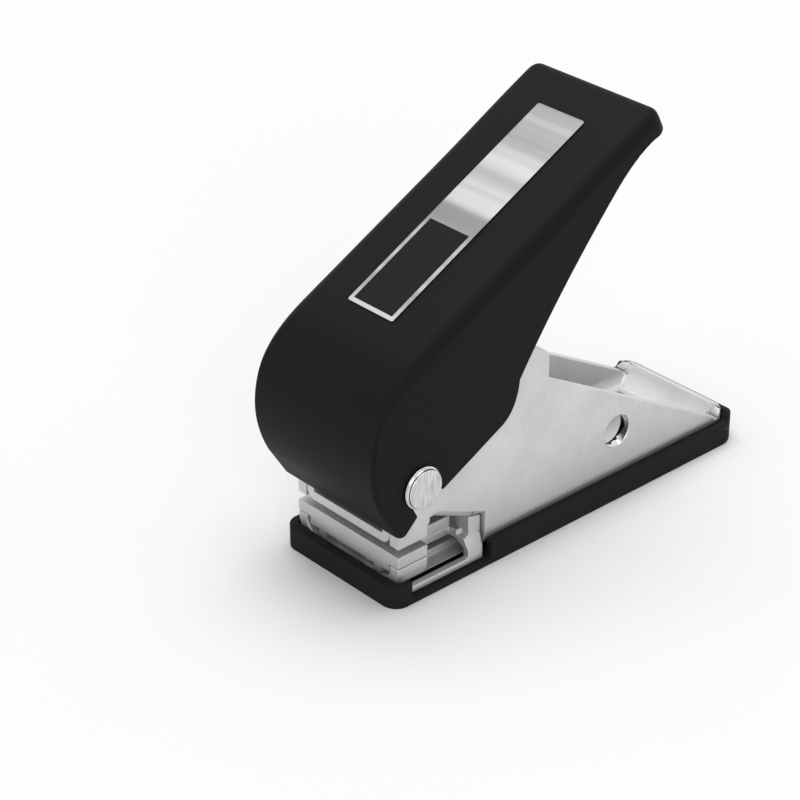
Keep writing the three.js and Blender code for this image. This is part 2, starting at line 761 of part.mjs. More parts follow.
// Height of the cover's lower edge at a place along the handle
function undersideAt(along) {
  const points = coverOutline().getPoints(curveSteps).filter((p) => p.y < coverTop - coverEndWall);
  const rearPoints = points.filter((p) => p.x > 0).sort((a, b) => a.x - b.x);
  const next = rearPoints.findIndex((p) => p.x >= along);
  const a = rearPoints[next - 1];
  const b = rearPoints[next];
  return a.y + (b.y - a.y) * (along - a.x) / (b.x - a.x);
}

// Cover: a moulded shell, open below, notched round the pivot pin, with bosses for two screws
function makeCover() {
  const half = coverHalf;
  const front = -noseAheadOfPivot;
  const body = alongX(coverOutline(), -half, half);
  const crown = new THREE.Shape();
  crown.moveTo(-half, -skirtBelowPivot - overrun);
  crown.lineTo(half, -skirtBelowPivot - overrun);
  crown.lineTo(half, coverTop - coverTopRounding);
  crown.absarc(half - coverTopRounding, coverTop - coverTopRounding, coverTopRounding, 0, Math.PI / 2);
  crown.lineTo(coverTopRounding - half, coverTop);
  crown.absarc(coverTopRounding - half, coverTop - coverTopRounding, coverTopRounding,
    Math.PI / 2, Math.PI);
  const plan = new THREE.Shape();
  plan.moveTo(coverNoseRounding - half, front);
  plan.lineTo(half - coverNoseRounding, front);
  plan.absarc(half - coverNoseRounding, front + coverNoseRounding, coverNoseRounding, -Math.PI / 2, 0);
  plan.lineTo(half, coverRear - coverRearRounding);
  plan.absarc(half - coverRearRounding, coverRear - coverRearRounding, coverRearRounding,
    0, Math.PI / 2);
  plan.lineTo(coverRearRounding - half, coverRear);
  plan.absarc(coverRearRounding - half, coverRear - coverRearRounding, coverRearRounding,
    Math.PI / 2, Math.PI);
  plan.lineTo(-half, front + coverNoseRounding);
  plan.absarc(coverNoseRounding - half, front + coverNoseRounding, coverNoseRounding,
    Math.PI, Math.PI * 3 / 2);
  let cover = body
    .intersect(alongY(crown, front - overrun, coverRear + overrun))
    .intersect(alongZ(plan, -skirtBelowPivot - overrun, coverTop + overrun));

  const innerHalf = half - coverSideWall;
  const innerFront = front + coverEndWall;
  const innerRear = coverRear - coverEndWall;
  const hollow = new THREE.Shape();
  hollow.moveTo(innerFront, -skirtBelowPivot - overrun);
  hollow.lineTo(innerRear, -skirtBelowPivot - overrun);
  hollow.lineTo(innerRear, coverInnerTop);
  hollow.lineTo(noseCentreAlong, coverInnerTop);
  hollow.absarc(noseCentreAlong, coverInnerTop - (noseCentreAlong - innerFront),
    noseCentreAlong - innerFront, Math.PI / 2, Math.PI);
  const innerRounding = coverRearRounding - coverSideWall;
  const innerPlan = new THREE.Shape();
  innerPlan.moveTo(-innerHalf, innerFront - overrun);
  innerPlan.lineTo(innerHalf, innerFront - overrun);
  innerPlan.lineTo(innerHalf, innerRear - innerRounding);
  innerPlan.absarc(innerHalf - innerRounding, innerRear - innerRounding, innerRounding, 0, Math.PI / 2);
  innerPlan.lineTo(innerRounding - innerHalf, innerRear);
  innerPlan.absarc(innerRounding - innerHalf, innerRear - innerRounding, innerRounding,
    Math.PI / 2, Math.PI);
  cover = cover.subtract(alongX(hollow, -innerHalf, innerHalf)
    .intersect(alongZ(innerPlan, -skirtBelowPivot - overrun, coverTop)));

  for (const share of ribShares) {
    const along = share * coverLength - noseAheadOfPivot;
    const bottom = undersideAt(along) + ribSetback;
    cover = cover.add(block(-innerHalf - seatGap, innerHalf + seatGap, along - ribThickness / 2,
      along + ribThickness / 2, bottom, coverInnerTop + seatGap));
  }
  for (const share of bossShares) {
    const along = share * coverLength - noseAheadOfPivot;
    cover = cover.add(rodZ(bossWidth, coverInnerTop - bossHeight, coverInnerTop + seatGap,
      0, along, smallRoundSteps));
    cover = cover.subtract(rodZ(screwWidth + slipGap * 2, coverInnerTop - bossHeight - overrun,
      leverTop + screwReach - leverSheet / 2, 0, along, smallRoundSteps));
  }
  const notch = new THREE.Shape();
  notch.moveTo(-notchWidth / 2, -skirtBelowPivot - overrun);
  notch.lineTo(notchWidth / 2, -skirtBelowPivot - overrun);
  notch.lineTo(notchWidth / 2, 0);
  notch.absarc(0, 0, notchWidth / 2, 0, Math.PI);
  return cover.subtract(alongX(notch, -half - overrun, half + overrun));
}

function makeLabel() {
  const half = labelWidth / 2;
  const bottom = coverTop + seatGap / 2;
  const plan = roundedRectangle(-half - labelShift, half - labelShift, labelFromPivot,
    labelFromPivot + labelLength, labelRounding);
  return alongZ(plan, bottom, bottom + labelThickness);
}

// Lever: a steel channel, open below, hung on the pivot pin inside the guide bracket's arms
function makeLever() {
  const reach = leverHalf;
  const lowAt = (along) => undersideAt(along) + leverLift;
  const bendShare = undersideShares[2][0];
  const bendAlong = bendShare * coverLength - noseAheadOfPivot;
  const side = polygon([
    [-leverFront, -leverBelowPivot],
    [leverHeelLength, -leverBelowPivot],
    [bendAlong, lowAt(bendAlong)],
    [leverEnd, lowAt(leverEnd)],
    [leverEnd, leverTop],
    [leverSheet, leverTop],
    [-leverFront, leverTop - leverBrowDrop],
  ]);
  let lever = alongX(side, -reach, reach);
  const inner = reach - leverSheet;
  lever = lever.subtract(block(-inner, inner, -leverFront - overrun, leverEnd + overrun,
    -leverBelowPivot - overrun, leverWebUnderside));
  lever = lever.subtract(rodX(pinWidth + runGap * 2, -reach - overrun, reach + overrun, 0, 0));
  lever = lever.subtract(rodX(pressPinWidth + slipGap * 2, -reach - overrun, reach + overrun,
    ...pressPinPlace()));
  for (const share of bossShares) {
    lever = lever.subtract(rodZ(screwWidth + slipGap * 2, leverWebUnderside - overrun,
      leverTop + overrun, 0, share * coverLength - noseAheadOfPivot, smallRoundSteps));
  }
  return lever;
}

// The press pin lies square above the punch's head when the handle is at rest
function pressPinPlace() {
  const along = pressPinAlong * Math.cos(restAngle) + pressPinRise * Math.sin(restAngle);
  const up = pressPinRise * Math.cos(restAngle) - pressPinAlong * Math.sin(restAngle);
  return [along, up];
}

function makePressPin() {
  return rodX(pressPinWidth, -leverHalf, leverHalf, ...pressPinPlace());
}

function makeSleeve() {
  const reach = leverHalf - leverSheet - seatGap;
  const width = pinWidth + runGap * 2 + sleeveWall * 2;
  return rodX(width, -reach, reach, 0, 0)
    .subtract(rodX(pinWidth + runGap * 2, -leverHalf, leverHalf, 0, 0));
}

function makeScrew(share) {
  const along = share * coverLength - noseAheadOfPivot;
  const headTop = leverWebUnderside - seatGap;
  const tip = leverTop + screwReach - leverSheet;
  const shank = rodZ(screwWidth, headTop - screwHeadThickness / 2, tip, 0, along, smallRoundSteps);
  return shank.add(rodZ(screwHeadWidth, headTop - screwHeadThickness, headTop, 0, along,
    smallRoundSteps));
}

function piece(name, shape, material) {
  const geometry = shape.isBufferGeometry ? shape : geometryOf(shape);
  const mesh = new THREE.Mesh(geometry, material);
  mesh.name = name;
  return mesh;
}

const flightPunch = new THREE.Group();
const base = new THREE.Group();
base.position.set(0, -(bootFront + bootRear) / 2, -bootUnderside);
flightPunch.add(base);

const handle = new THREE.Group();
handle.position.set(0, pivotAlong, pivotRise);
handle.rotation.x = restAngle;
base.add(handle);

base.add(
  piece('base_boot', makeBoot(), bootRubber),
  piece('frame_channel', makeFrame(), nickelPlate),
  piece('guide_bracket', makeGuideBracket(), nickelPlate),
  piece('guide_block', makeGuideBlock(), blackNylon),
  piece('guide_bush', makeGuideBush(), toolSteel),
  piece('die_saddle', makeSaddle(), nickelPlate),
  piece('die_plate', makeDiePlate(), toolSteel),
  piece('die_bush', makeDieBush(), toolSteel),
  piece('die_rivet_left', makeDieRivet(-1), brushedSteel),
  piece('die_rivet_right', makeDieRivet(1), brushedSteel),
  piece('punch_pin', makePunch(), toolSteel),
  piece('return_spring', makeSpring(), springSteel),
  piece('pivot_pin', makePivotPin(), brushedSteel),
  piece('pivot_cap', makePivotCap(), brushedSteel),
  piece('pivot_collar_left', makeCollar(-1), nickelPlate),
  piece('pivot_collar_right', makeCollar(1), nickelPlate),
);
handle.add(
  piece('handle_cover', makeCover(), handlePlastic),
  piece('foil_label', makeLabel(), silverFoil),
  piece('lever', makeLever(), nickelPlate),
  piece('press_pin', makePressPin(), brushedSteel),
  piece('pivot_sleeve', makeSleeve(), nickelPlate),
  piece('cover_screw_front', makeScrew(bossShares[0]), brushedSteel),
  piece('cover_screw_rear', makeScrew(bossShares[1]), brushedSteel),
);

export default flightPunch;
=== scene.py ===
# Hand punch for dart flights, dressed for rendering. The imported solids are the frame: each piece
# here stands where they stand, in metres, and rides on the base, the handle or the punch.
import json
import math

import bmesh
import bpy
from mathutils import Matrix, Vector


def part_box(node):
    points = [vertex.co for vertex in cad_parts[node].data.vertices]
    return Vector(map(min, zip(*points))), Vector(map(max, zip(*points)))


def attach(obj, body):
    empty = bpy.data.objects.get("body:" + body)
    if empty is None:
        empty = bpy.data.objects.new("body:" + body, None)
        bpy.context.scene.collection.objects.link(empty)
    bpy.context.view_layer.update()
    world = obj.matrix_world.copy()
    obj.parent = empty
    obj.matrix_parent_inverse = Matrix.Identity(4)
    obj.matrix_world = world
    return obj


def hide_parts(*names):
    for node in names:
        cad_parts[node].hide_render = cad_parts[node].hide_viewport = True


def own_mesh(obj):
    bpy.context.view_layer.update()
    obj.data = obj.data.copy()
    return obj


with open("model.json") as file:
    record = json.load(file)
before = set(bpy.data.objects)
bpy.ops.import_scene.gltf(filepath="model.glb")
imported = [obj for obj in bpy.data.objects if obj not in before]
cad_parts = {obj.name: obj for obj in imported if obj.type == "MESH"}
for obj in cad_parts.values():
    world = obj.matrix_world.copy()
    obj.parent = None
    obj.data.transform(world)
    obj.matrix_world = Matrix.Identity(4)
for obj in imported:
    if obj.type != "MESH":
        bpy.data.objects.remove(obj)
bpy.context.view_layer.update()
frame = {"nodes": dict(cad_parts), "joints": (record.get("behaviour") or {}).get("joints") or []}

# Camera: it looks down on the open jaws from the right, as the photograph does. Its place, its
# turns in degrees and its lens in millimetres were solved from the edges of the frame, the boot
# and the handle.
camera_place = (0.1844, -0.185225, 0.161842)
camera_turns = (60.196, 0.09, 47.995)
camera_lens, sensor_width = 113.53, 36

scene = bpy.context.scene
scene.view_settings.view_transform = "Standard"
camera = bpy.data.objects.new("camera", bpy.data.cameras.new("camera"))
camera.location = camera_place
camera.rotation_euler = [math.radians(turn) for turn in camera_turns]
camera.data.sensor_width = sensor_width
camera.data.lens = camera_lens
scene.collection.objects.link(camera)
scene.camera = camera

# Studio: a white paper floor under one broad soft lamp overhead, with a weaker lamp beside the
# camera. The paper keeps the soft shadow, and the world round it is white to the lens and in the
# plating. Each lamp has its place, its width and its power in watts.
floor_reach = 1.2
plain_start, plain_end = 0.08, 0.24
tooth_per_metre, tooth_depth = 900, 0.0001
paper_white = "#fafaf9"
lamps = {
    "lamp_overhead": ((-0.06, 0.05, 0.62), 0.5, 2.05),
    "lamp_side": ((0.50, -0.34, 0.30), 0.34, 0.7),
}
world_strength = 0.54


def linear(colour):
    """The linear colour of an sRGB hex value, with alpha."""
    channels = [int(colour[i:i + 2], 16) / 255 for i in (1, 3, 5)]
    return (*[c / 12.92 if c <= 0.04045 else ((c + 0.055) / 1.055) ** 2.4 for c in channels], 1)


def feed(tree, node, inputs):
    """Sets a node's inputs: each takes a value, or a link from a (node, output) pair."""
    for name, value in inputs.items():
        if isinstance(value, tuple) and isinstance(value[0], bpy.types.Node):
            tree.links.new(value[0].outputs[value[1]], node.inputs[name])
        else:
            node.inputs[name].default_value = value


def add_node(tree, kind, inputs=None, **settings):
    """Adds a node with its settings and its inputs."""
    node = tree.nodes.new(kind)
    for name, value in settings.items():
        setattr(node, name, value)
    feed(tree, node, inputs or {})
    return node


def new_material(name, colour, roughness, metallic=0.0):
    """A material of one plain colour, with its node tree and its shader, ready for a pattern."""
    material = bpy.data.materials.new(name)
    material.use_nodes = True
    tree = material.node_tree
    shader = tree.nodes["Principled BSDF"]
    feed(tree, shader, {
        "Base Color": linear(colour), "Roughness": roughness, "Metallic": metallic,
    })
    return material, tree, shader


def seen_rays(tree):
    """A node that gives 1 to rays from the lens, from shiny metal or through glass, and else 0."""
    path = add_node(tree, "ShaderNodeLightPath")
    seen = add_node(tree, "ShaderNodeMath", {0: (path, "Is Camera Ray"), 1: (path, "Is Glossy Ray")},
                    operation="MAXIMUM")
    return add_node(tree, "ShaderNodeMath", {0: (seen, 0), 1: (path, "Is Transmission Ray")},
                    operation="MAXIMUM")


def piece_from(form, name, *materials):
    """Turns a bmesh into a shaded object at the origin."""
    for face in form.faces:
        face.smooth = True
    mesh = bpy.data.meshes.new(name)
    form.to_mesh(mesh)
    form.free()
    for material in materials:
        mesh.materials.append(material)
    piece = bpy.data.objects.new(name, mesh)
    scene.collection.objects.link(piece)
    return piece


# Matt paper: a very faint tooth, about 1 mm apart, so that the floor isn't a flat card. Away from
# the object it turns plain white to the lens and in metal, so that no grey horizon shows.
paper, tree, shader = new_material("white_paper", paper_white, 0.9)
coords = add_node(tree, "ShaderNodeTexCoord")
tooth = add_node(tree, "ShaderNodeTexNoise", {
    "Vector": (coords, "Object"), "Scale": tooth_per_metre, "Detail": 4,
})
bump = add_node(tree, "ShaderNodeBump", {
    "Height": (tooth, "Fac"), "Strength": 0.1, "Distance": tooth_depth,
})
feed(tree, shader, {"Normal": (bump, "Normal")})
from_middle = add_node(tree, "ShaderNodeVectorMath", {0: (coords, "Object")}, operation="LENGTH")
far = add_node(tree, "ShaderNodeMapRange", {
    "Value": (from_middle, "Value"), "From Min": plain_start, "From Max": plain_end,
}, interpolation_type="SMOOTHSTEP")
plain = add_node(tree, "ShaderNodeMath", {0: (far, 0), 1: (seen_rays(tree), 0)}, operation="MULTIPLY")
white = add_node(tree, "ShaderNodeEmission", {"Color": (1, 1, 1, 1), "Strength": 1.0})
surface = add_node(tree, "ShaderNodeMixShader", {0: (plain, 0), 1: (shader, 0), 2: (white, 0)})
feed(tree, tree.nodes["Material Output"], {"Surface": (surface, 0)})

form = bmesh.new()
bmesh.ops.create_grid(form, x_segments=1, y_segments=1, size=floor_reach)
floor = piece_from(form, "floor", paper)

for name, (place, size, power) in lamps.items():
    lamp = bpy.data.objects.new(name, bpy.data.lights.new(name, "AREA"))
    lamp.location = place
    lamp.rotation_euler = (-Vector(place)).to_track_quat("-Z", "Y").to_euler()
    lamp.data.size = size
    lamp.data.energy = power
    scene.collection.objects.link(lamp)

world = bpy.data.worlds.new("studio")
world.use_nodes = True
scene.world = world
tree = world.node_tree
strength = add_node(tree, "ShaderNodeMapRange", {
    "Value": (seen_rays(tree), 0), "To Min": world_strength, "To Max": 1.0,
})
feed(tree, tree.nodes["Background"], {"Color": (1, 1, 1, 1), "Strength": (strength, 0)})

# Boot: one moulding of black rubber stretched over the frame's floor. It is matt, with a bloom in
# patches of about 2 mm over a fine grain, and a thin parting line crosses its rear corners.
boot_edge = 0.00012
parting_height, parting_width, corner_start = 0.0021, 0.00012, 0.0262
bloom_per_metre, rubber_grain_per_metre, rubber_grain_depth = 450, 6000, 0.00003
rubber_black, rubber_worn, parting_grey = "#1f1e1c", "#272523", "#55534f"
same_point = 0.000001
sharp_turn, needed_room, edge_segments = 35, 1.4, 2


def softened(node, name, edge_width, material, flat_turn=0.5, cuts=()):
    """A copy of a CAD node, its loose triangles merged into faces and its sharp edges rounded.

    Faces that meet within flat_turn, in degrees, become one. An edge stays sharp where a shorter
    one beside it would leave no room for the rounding."""
    form = bmesh.new()
    form.from_mesh(frame["nodes"][node].data)
    bmesh.ops.remove_doubles(form, verts=form.verts, dist=same_point)
    bmesh.ops.dissolve_degenerate(form, dist=same_point, edges=form.edges)
    bmesh.ops.dissolve_limit(
        form, angle_limit=math.radians(flat_turn), verts=form.verts, edges=form.edges)
    for x in cuts:
        bmesh.ops.bisect_plane(form, geom=list(form.faces) + list(form.edges) + list(form.verts),
                               dist=same_point, plane_co=(x, 0, 0), plane_no=(1, 0, 0))
    weights = form.edges.layers.float.new("bevel_weight_edge")
    folds = {edge for edge in form.edges if edge.calc_face_angle(0) > math.radians(sharp_turn)}
    for edge in folds:
        beside = [other for vert in edge.verts for other in vert.link_edges if other not in folds]
        roomy = all(other.calc_length() > edge_width * needed_room for other in beside)
        edge[weights] = 1.0 if roomy else 0.0
        edge.smooth = roomy
    piece = piece_from(form, name, material)
    rounding = piece.modifiers.new("edges", "BEVEL")
    rounding.width = edge_width
    rounding.segments = edge_segments
    rounding.limit_method = "WEIGHT"
    rounding.use_clamp_overlap = False
    normals = piece.modifiers.new("normals", "WEIGHTED_NORMAL")
    normals.keep_sharp = True
    return piece


def fix(piece, body, slot, *nodes):
    """Puts a piece on its body and lets it stand for its solids. The slot, the name of its finish, is
    not used.
    """
    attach(piece, body)
    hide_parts(*nodes)


# Moulded rubber: the bloom lightens it in soft patches, the grain keeps any glint off it, and the
# parting line shows as a thin grey thread.
rubber, tree, shader = new_material("moulded_rubber", "#22211f", 0.75)
coords = add_node(tree, "ShaderNodeTexCoord")
bloom = add_node(tree, "ShaderNodeTexNoise", {
    "Vector": (coords, "Object"), "Scale": bloom_per_metre, "Detail": 5,
})
shade = add_node(tree, "ShaderNodeMix", {
    0: (bloom, "Fac"), 6: linear(rubber_black), 7: linear(rubber_worn),
}, data_type="RGBA")
grain = add_node(tree, "ShaderNodeTexNoise", {
    "Vector": (coords, "Object"), "Scale": rubber_grain_per_metre, "Detail": 2,
})
bump = add_node(tree, "ShaderNodeBump", {
    "Height": (grain, "Fac"), "Strength": 0.25, "Distance": rubber_grain_depth,
})
place = add_node(tree, "ShaderNodeSeparateXYZ", {0: (coords, "Object")})
at_parting = add_node(tree, "ShaderNodeMath", {
    0: (place, "Z"), 1: parting_height, 2: parting_width / 2,
}, operation="COMPARE")
at_corner = add_node(tree, "ShaderNodeMath", {
    0: (place, "Y"), 1: corner_start,
}, operation="GREATER_THAN")
parting = add_node(tree, "ShaderNodeMath", {0: (at_parting, 0), 1: (at_corner, 0)}, operation="MULTIPLY")
shade = add_node(tree, "ShaderNodeMix", {
    0: (parting, 0), 6: (shade, 2), 7: linear(parting_grey),
}, data_type="RGBA")
feed(tree, shader, {
    "Base Color": (shade, 2), "Normal": (bump, "Normal"), "Specular IOR Level": 0.08,
})

boot = softened("base_boot", "boot_moulding", boot_edge, rubber)
fix(boot, "base", "black_rubber", "base_boot")

# Frame: one pressing of 1.5 mm sheet steel, plated after it was cut and bent, so that the plating
# softens its sheared edges. Two cuts part its wide faces beside the bends, so that each shades
# evenly.
sheared_edge = 0.00018
frame_cuts = (-0.0061, 0.0061)
clouds_per_metre, flecks_per_metre = 160, 2600
rolling_per_metre, rolling_depth = (5200, 420, 5200), 0.00001
boot_shade_from, boot_shade_to = 0.0035, 0.012
plating_dark, plating_pale, fleck_white, boot_shade_grey = "#d0d0cf", "#dadad9", "#eeeeee", "#8e8d8b"

# Dull nickel plating: faint clouds of about 6 mm, small pale flecks, and painted shade low down
# beside the boot, where the black boot would darken it. The grain of rolling runs along the sheet,
# drawn coarser than the real one so that it shows.
plating, tree, shader = new_material("dull_nickel_plating", "#d2d2d1", 0.5, metallic=0.8)
coords = add_node(tree, "ShaderNodeTexCoord")
clouds = add_node(tree, "ShaderNodeTexNoise", {
    "Vector": (coords, "Object"), "Scale": clouds_per_metre, "Detail": 6, "Roughness": 0.62,
})
tone = add_node(tree, "ShaderNodeMapRange", {
    "Value": (clouds, "Fac"), "From Min": 0.35, "From Max": 0.68,
})
shade = add_node(tree, "ShaderNodeMix", {
    0: (tone, 0), 6: linear(plating_dark), 7: linear(plating_pale),
}, data_type="RGBA")
flecks = add_node(tree, "ShaderNodeTexNoise", {
    "Vector": (coords, "Object"), "Scale": flecks_per_metre, "Detail": 3,
})
fleck = add_node(tree, "ShaderNodeMapRange", {
    "Value": (flecks, "Fac"), "From Min": 0.6, "From Max": 0.75, "To Max": 0.35,
})
shade = add_node(tree, "ShaderNodeMix", {
    0: (fleck, 0), 6: (shade, 2), 7: linear(fleck_white),
}, data_type="RGBA")
height = add_node(tree, "ShaderNodeSeparateXYZ", {0: (coords, "Object")})
# Painted shade: low down beside the boot the plating is mixed towards grey, as the black boot would
# darken it.
boot_shade = add_node(tree, "ShaderNodeMapRange", {
    "Value": (height, "Z"), "From Min": boot_shade_from, "From Max": boot_shade_to, "To Min": 0.3, "To Max": 0.0,
}, interpolation_type="SMOOTHSTEP")
shade = add_node(tree, "ShaderNodeMix", {
    0: (boot_shade, 0), 6: (shade, 2), 7: linear(boot_shade_grey),
}, data_type="RGBA")
gloss = add_node(tree, "ShaderNodeMapRange", {
    "Value": (clouds, "Fac"), "From Min": 0.3, "From Max": 0.7, "To Min": 0.6, "To Max": 0.48,
})
along_sheet = add_node(tree, "ShaderNodeMapping", {
    "Vector": (coords, "Object"), "Scale": rolling_per_metre,
})
rolling = add_node(tree, "ShaderNodeTexNoise", {"Vector": (along_sheet, 0), "Scale": 1, "Detail": 3})
bump = add_node(tree, "ShaderNodeBump", {
    "Height": (rolling, "Fac"), "Strength": 0.12, "Distance": rolling_depth,
})
feed(tree, shader, {
    "Base Color": (shade, 2), "Roughness": (gloss, 0), "Normal": (bump, "Normal"),
})

# Sheared hole wall: bare steel where a hole was stamped through each cheek. It is burnished bright
# on the outer side, where the stamp went in, and torn with a ragged edge beyond, painted near-black
# there as painted shade deep in the hole. The faces near the hole's middle that lean little towards
# the cheek's side are that wall.
torn_least, torn_most = 0.0072, 0.0084
tears_per_metre = 1500
burnished_white, torn_shade_black = "#dcdcdc", "#2b2b2b"
hole_middle, hole_reach = (0.00753, 0.0088), 0.0023
wall_lean = 0.5
sheared, tree, shader = new_material("sheared_hole_wall", "#b5b5b4", 0.2, metallic=1.0)
coords = add_node(tree, "ShaderNodeTexCoord")
place = add_node(tree, "ShaderNodeSeparateXYZ", {0: (coords, "Object")})
depth = add_node(tree, "ShaderNodeMath", {0: (place, "X")}, operation="ABSOLUTE")
ragged = add_node(tree, "ShaderNodeTexNoise", {
    "Vector": (coords, "Object"), "Scale": tears_per_metre, "Detail": 3,
})
edge = add_node(tree, "ShaderNodeMapRange", {
    "Value": (ragged, "Fac"), "To Min": torn_least, "To Max": torn_most,
})
# Painted shade: the torn part, deeper in the hole, is mixed to near-black.
torn_and_shade = add_node(tree, "ShaderNodeMath", {0: (depth, 0), 1: (edge, 0)}, operation="LESS_THAN")
shade = add_node(tree, "ShaderNodeMix", {
    0: (torn_and_shade, 0), 6: linear(burnished_white), 7: linear(torn_shade_black),
}, data_type="RGBA")
feed(tree, shader, {"Base Color": (shade, 2)})

channel = softened("frame_channel", "frame_pressing", sheared_edge, plating, flat_turn=3,
                   cuts=frame_cuts)
channel.data.materials.append(sheared)
for face in channel.data.polygons:
    from_middle = math.hypot(face.center.y - hole_middle[0], face.center.z - hole_middle[1])
    if abs(face.normal.x) < wall_lean and from_middle < hole_reach:
        face.material_index = 1
fix(channel, "base", "plated_steel", "frame_channel")

# Guide bracket: the upper jaw, pressed from 1.2 mm sheet steel and plated as the frame is. Its
# two arms hang on the pivot pin inside the cheeks.
thin_sheet_edge = 0.00015
bracket = softened("guide_bracket", "bracket_pressing", thin_sheet_edge, plating)
fix(bracket, "base", "plated_steel", "guide_bracket")

# Saddle: pressed from the same plated 1.2 mm sheet, it stands on the frame's floor and carries
# the die. Its stop posts and feet come out through the windows and lie in the boot.
saddle_edge = 0.0002
saddle = softened("die_saddle", "saddle_pressing", saddle_edge, plating)
fix(saddle, "base", "plated_steel", "die_saddle")

# Die plate: the top of the lower jaw, 1.5 mm steel ground flat and plated like the rest of the
# sheet metal. Two rivets hold it to the saddle.
plate = softened("die_plate", "die_ground", thin_sheet_edge, plating)
fix(plate, "base", "plated_steel", "die_plate")

# Guide block: a moulding of black nylon, clipped over the bracket's plate round the spring. Nylon
# looks dull and waxy, a little mottled in tone and in its surface.
block_edge = 0.0002
mottles_per_metre, mottle_depth = 1800, 0.00005
nylon_black, nylon_grey = "#161616", "#333333"
nylon, tree, shader = new_material("moulded_nylon", "#1c1c1c", 0.62)
coords = add_node(tree, "ShaderNodeTexCoord")
mottle = add_node(tree, "ShaderNodeTexNoise", {
    "Vector": (coords, "Object"), "Scale": mottles_per_metre, "Detail": 4,
})
shade = add_node(tree, "ShaderNodeMix", {
    0: (mottle, "Fac"), 6: linear(nylon_black), 7: linear(nylon_grey),
}, data_type="RGBA")
bump = add_node(tree, "ShaderNodeBump", {
    "Height": (mottle, "Fac"), "Strength": 0.4, "Distance": mottle_depth,
})
feed(tree, shader, {"Base Color": (shade, 2), "Normal": (bump, "Normal")})
block = softened("guide_block", "block_moulding", block_edge, nylon)
fix(block, "base", "black_nylon", "guide_block")

# Tools: the guide bush in the bracket, the die bush in its plate, and the punch that slides
# between them. They are turned and hardened, and left dark from the quench in soft patches, with
# the rings of turning drawn about 0.1 mm apart so that they show.
tool_edge = 0.00012
patches_per_metre = 500
rings_per_metre, ring_depth = (300, 300, 9000), 0.00001
quenched_dark, quenched_pale = "#333437", "#4a4a4d"
hardened, tree, shader = new_material("hardened_tool_steel", "#3d3e41", 0.34, metallic=1.0)
coords = add_node(tree, "ShaderNodeTexCoord")
heat = add_node(tree, "ShaderNodeTexNoise", {
    "Vector": (coords, "Object"), "Scale": patches_per_metre, "Detail": 4,
})
shade = add_node(tree, "ShaderNodeMix", {
    0: (heat, "Fac"), 6: linear(quenched_dark), 7: linear(quenched_pale),
}, data_type="RGBA")
rings = add_node(tree, "ShaderNodeMapping", {"Vector": (coords, "Object"), "Scale": rings_per_metre})
turning = add_node(tree, "ShaderNodeTexNoise", {"Vector": (rings, 0), "Scale": 1, "Detail": 2})
bump = add_node(tree, "ShaderNodeBump", {
    "Height": (turning, "Fac"), "Strength": 0.2, "Distance": ring_depth,
})
feed(tree, shader, {"Base Color": (shade, 2), "Normal": (bump, "Normal")})
for node, name, body in (
    ("guide_bush", "bush_turned", "base"),
    ("die_bush", "die_bush_turned", "base"),
    ("punch_pin", "punch_turned", "punch"),
):
    fix(softened(node, name, tool_edge, hardened), body, "tool_steel", node)

# Small turned parts: the die's rivets, the collars that keep the pin's heads off the cheeks, the
# press pin that pushes the punch, and the sleeve on which the handle turns. They are mild steel,
# tumbled after turning, which leaves them bright with an uneven gloss.
small_edge = 0.0001
marks_per_metre = 2500
bright, tree, shader = new_material("turned_bright_steel", "#c9c9c8", 0.28, metallic=1.0)
coords = add_node(tree, "ShaderNodeTexCoord")
tumbled = add_node(tree, "ShaderNodeTexNoise", {
    "Vector": (coords, "Object"), "Scale": marks_per_metre, "Detail": 4,
})
gloss = add_node(tree, "ShaderNodeMapRange", {
    "Value": (tumbled, "Fac"), "To Min": 0.2, "To Max": 0.38,
})
feed(tree, shader, {"Roughness": (gloss, 0)})
for node, body, slot in (
    ("die_rivet_left", "base", "bright_steel"),
    ("die_rivet_right", "base", "bright_steel"),
    ("pivot_collar_left", "base", "plated_steel"),
    ("pivot_collar_right", "base", "plated_steel"),
    ("press_pin", "handle", "bright_steel"),
    ("pivot_sleeve", "handle", "plated_steel"),
):
    fix(softened(node, node + "_turned", small_edge, bright), body, slot, node)

# Lever: the handle's core, a channel pressed from 1.2 mm sheet steel and plated as the frame is.
# It turns on the pivot pin inside the bracket's arms, and the cover is screwed to it.
lever = softened("lever", "lever_pressing", thin_sheet_edge, plating)
fix(lever, "handle", "plated_steel", "lever")

# Pivot pin: a turned steel pin across the frame with a low head, and a matching cap riveted on its
# far end. Each head is a disc on a thin flange, polished round its edges and brushed across its
# face.
pivot = Vector(frame["joints"][0]["pos_m"])
pin_low, pin_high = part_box("pivot_pin")
cap_low, cap_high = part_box("pivot_cap")
head_radius, head_thickness = 0.0026, 0.0007
flange_thickness, flange_edge = 0.00018, 0.00007
disc_radius, disc_edge = 0.00238, 0.00012
shank_radius = 0.0015
turned_steps, bend_steps = 64, 6

# A ring halfway across each face keeps its shading even, and the faces that lean this much along
# the pin are the brushed ones.
face_ring, face_lean = 0.5, 0.95

# Polished steel: the rims mirror the studio as thin bright rings.
polished = new_material("polished_pin_edge", "#d2d2d1", 0.12, metallic=1.0)[0]

